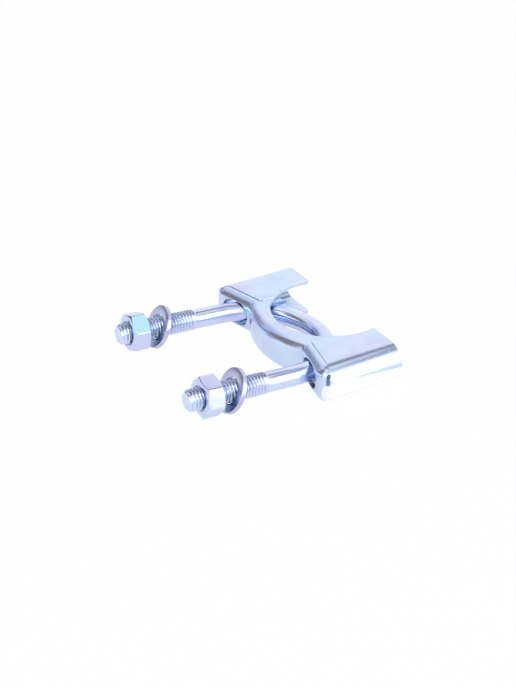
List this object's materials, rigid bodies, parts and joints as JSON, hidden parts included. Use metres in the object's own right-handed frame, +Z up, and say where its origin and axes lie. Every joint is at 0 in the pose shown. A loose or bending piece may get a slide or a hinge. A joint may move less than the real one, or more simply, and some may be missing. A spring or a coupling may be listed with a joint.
{
  "type": "exhaust clamp",
  "caption": "Exhaust pipe U-bolt clamp: a bent rod with threaded legs slides through a pressed sheet saddle, with a washer and a hexagon nut on each leg.",
  "frame": {"origin": "the pipe's axis where it meets the plane that the saddle lies on", "axes": "+Z up along the pipe's axis; +Y from the nuts towards the bend; +X from the left leg to the right leg"},
  "size_m": [0.0786, 0.0785, 0.0188],
  "materials": {
    "saddle_plate": "bright zinc plate on pressed steel sheet, bluish",
    "bolt_plate": "bright zinc plate on drawn rod with rolled threads",
    "washer_plate": "bright zinc plate, greyer, on a stamped washer",
    "nut_plate": "bright zinc plate on a forged nut"
  },
  "bodies": {
    "saddle": {"saddle": "saddle_plate"},
    "u_bolt": {"u_bolt": "bolt_plate"},
    "left_nut": {"left_nut": "nut_plate"},
    "right_nut": {"right_nut": "nut_plate"},
    "left_washer": {"left_washer": "washer_plate"},
    "right_washer": {"right_washer": "washer_plate"}
  },
  "joints": [
    {"name": "bolt_slide", "type": "slide", "parent": "saddle", "child": "u_bolt", "axis": [0, 0.9966, -0.0819], "range_m": [0, 0.0265]},
    {"name": "left_nut_travel", "type": "slide", "parent": "u_bolt", "child": "left_nut", "axis": [0, -0.9966, 0.0819], "range_m": [-0.017, 0.0035]},
    {"name": "right_nut_travel", "type": "slide", "parent": "u_bolt", "child": "right_nut", "axis": [0, -0.9966, 0.0819], "range_m": [-0.017, 0.0045]},
    {"name": "left_washer_slide", "type": "slide", "parent": "left_nut", "child": "left_washer", "axis": [0, -0.9966, 0.0819], "range_m": [-0.009, 0.0012]},
    {"name": "right_washer_slide", "type": "slide", "parent": "right_nut", "child": "right_washer", "axis": [0, -0.9966, 0.0819], "range_m": [-0.009, 0.0012]}
  ]
}
